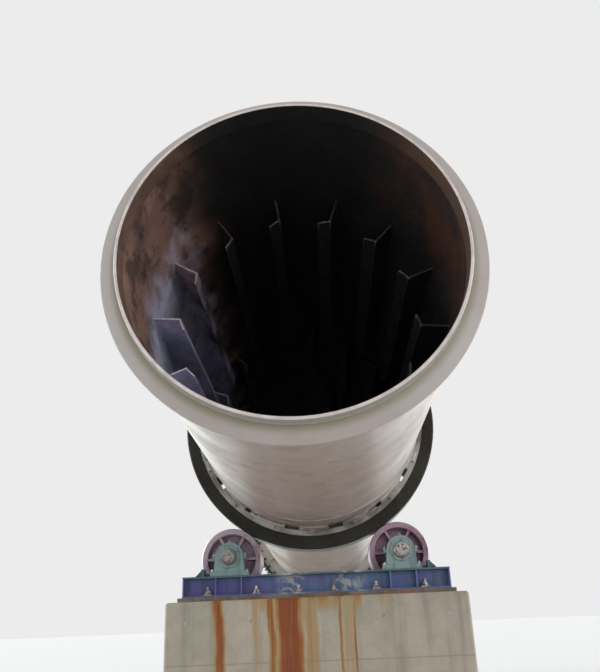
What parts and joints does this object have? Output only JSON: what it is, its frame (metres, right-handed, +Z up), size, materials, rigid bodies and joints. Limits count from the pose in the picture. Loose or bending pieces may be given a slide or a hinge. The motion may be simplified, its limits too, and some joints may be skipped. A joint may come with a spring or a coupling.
{
  "type": "rotary drum dryer",
  "caption": "Long sloping steel drum with lifting flights, carried by two riding rings on four support rollers over two concrete piers.",
  "frame": {"origin": "on the floor, under the middle of the whole object's box", "axes": "+Y along the drum from the feed end to the discharge end, +Z up, +X to the right when looking into the feed end"},
  "size_m": [3.0494, 18.0522, 5.1857],
  "materials": {
    "shell_paint": "warm grey-white paint over rolled plate",
    "flight_steel": "bare plate with rust and dust",
    "tyre_steel": "dark machined and greased steel",
    "pad_steel": "weathered plate",
    "roller_steel": "worn rim with a dull rust bloom",
    "shaft_steel": "turned steel",
    "gear_steel": "cut gear steel with dark grease",
    "drive_paint": "grey-green machine paint on castings",
    "bearing_paint": "grey-green machine paint",
    "frame_paint": "blue machine paint",
    "grout": "cement grout",
    "concrete": "plain cast concrete with rust streaks"
  },
  "bodies": {
    "foundation": {"front_pier": "concrete", "front_grout": "grout", "front_base_frame": "frame_paint", "rear_pier": "concrete", "rear_grout": "grout", "rear_base_frame": "frame_paint", "front_left_bearings": "bearing_paint", "front_right_bearings": "bearing_paint", "rear_left_bearings": "bearing_paint", "rear_right_bearings": "bearing_paint", "thrust_housings": "frame_paint", "thrust_rollers": "roller_steel", "drive_plinth": "concrete", "drive_frame": "frame_paint", "pinion_bearings": "bearing_paint", "pinion_shaft": "shaft_steel", "gear_guard": "frame_paint", "drive_coupling": "shaft_steel", "gearbox": "drive_paint", "drive_motor": "drive_paint"},
    "drum": {"feed_shell": "shell_paint", "front_tyre_course": "shell_paint", "front_middle_shell": "shell_paint", "rear_middle_shell": "shell_paint", "rear_tyre_course": "shell_paint", "discharge_shell": "shell_paint", "feed_ring": "shell_paint", "discharge_ring": "shell_paint", "feed_lifting_flights": "flight_steel", "middle_lifting_flights": "flight_steel", "discharge_lifting_flights": "flight_steel", "front_tyre": "tyre_steel", "front_tyre_pads": "pad_steel", "rear_tyre": "tyre_steel", "rear_tyre_pads": "pad_steel", "gear_carrier": "shell_paint", "girth_gear": "gear_steel"},
    "front_left_support_roller": {"front_left_roller": "roller_steel", "front_left_shaft": "shaft_steel"},
    "front_right_support_roller": {"front_right_roller": "roller_steel", "front_right_shaft": "shaft_steel"},
    "rear_left_support_roller": {"rear_left_roller": "roller_steel", "rear_left_shaft": "shaft_steel"},
    "rear_right_support_roller": {"rear_right_roller": "roller_steel", "rear_right_shaft": "shaft_steel"}
  },
  "joints": [
    {"name": "drum_spin", "type": "hinge", "parent": "foundation", "child": "drum", "pos_m": [0, 0, 3.63], "axis": [0, 0.9997, -0.025], "continuous": true},
    {"name": "front_left_roller_spin", "type": "hinge", "parent": "foundation", "child": "front_left_support_roller", "pos_m": [-0.9025, -4.87603, 2.24942], "axis": [0, 0.9997, -0.025], "continuous": true},
    {"name": "front_right_roller_spin", "type": "hinge", "parent": "foundation", "child": "front_right_support_roller", "pos_m": [0.9025, -4.87603, 2.24942], "axis": [0, 0.9997, -0.025], "continuous": true},
    {"name": "rear_left_roller_spin", "type": "hinge", "parent": "foundation", "child": "rear_left_support_roller", "pos_m": [-0.9025, 4.80095, 2.00749], "axis": [0, 0.9997, -0.025], "continuous": true},
    {"name": "rear_right_roller_spin", "type": "hinge", "parent": "foundation", "child": "rear_right_support_roller", "pos_m": [0.9025, 4.80095, 2.00749], "axis": [0, 0.9997, -0.025], "continuous": true}
  ],
  "couplings": [
    {"joint": "front_left_roller_spin", "follows": "drum_spin", "ratio": -4.475},
    {"joint": "front_right_roller_spin", "follows": "drum_spin", "ratio": -4.475},
    {"joint": "rear_left_roller_spin", "follows": "drum_spin", "ratio": -4.475},
    {"joint": "rear_right_roller_spin", "follows": "drum_spin", "ratio": -4.475}
  ]
}
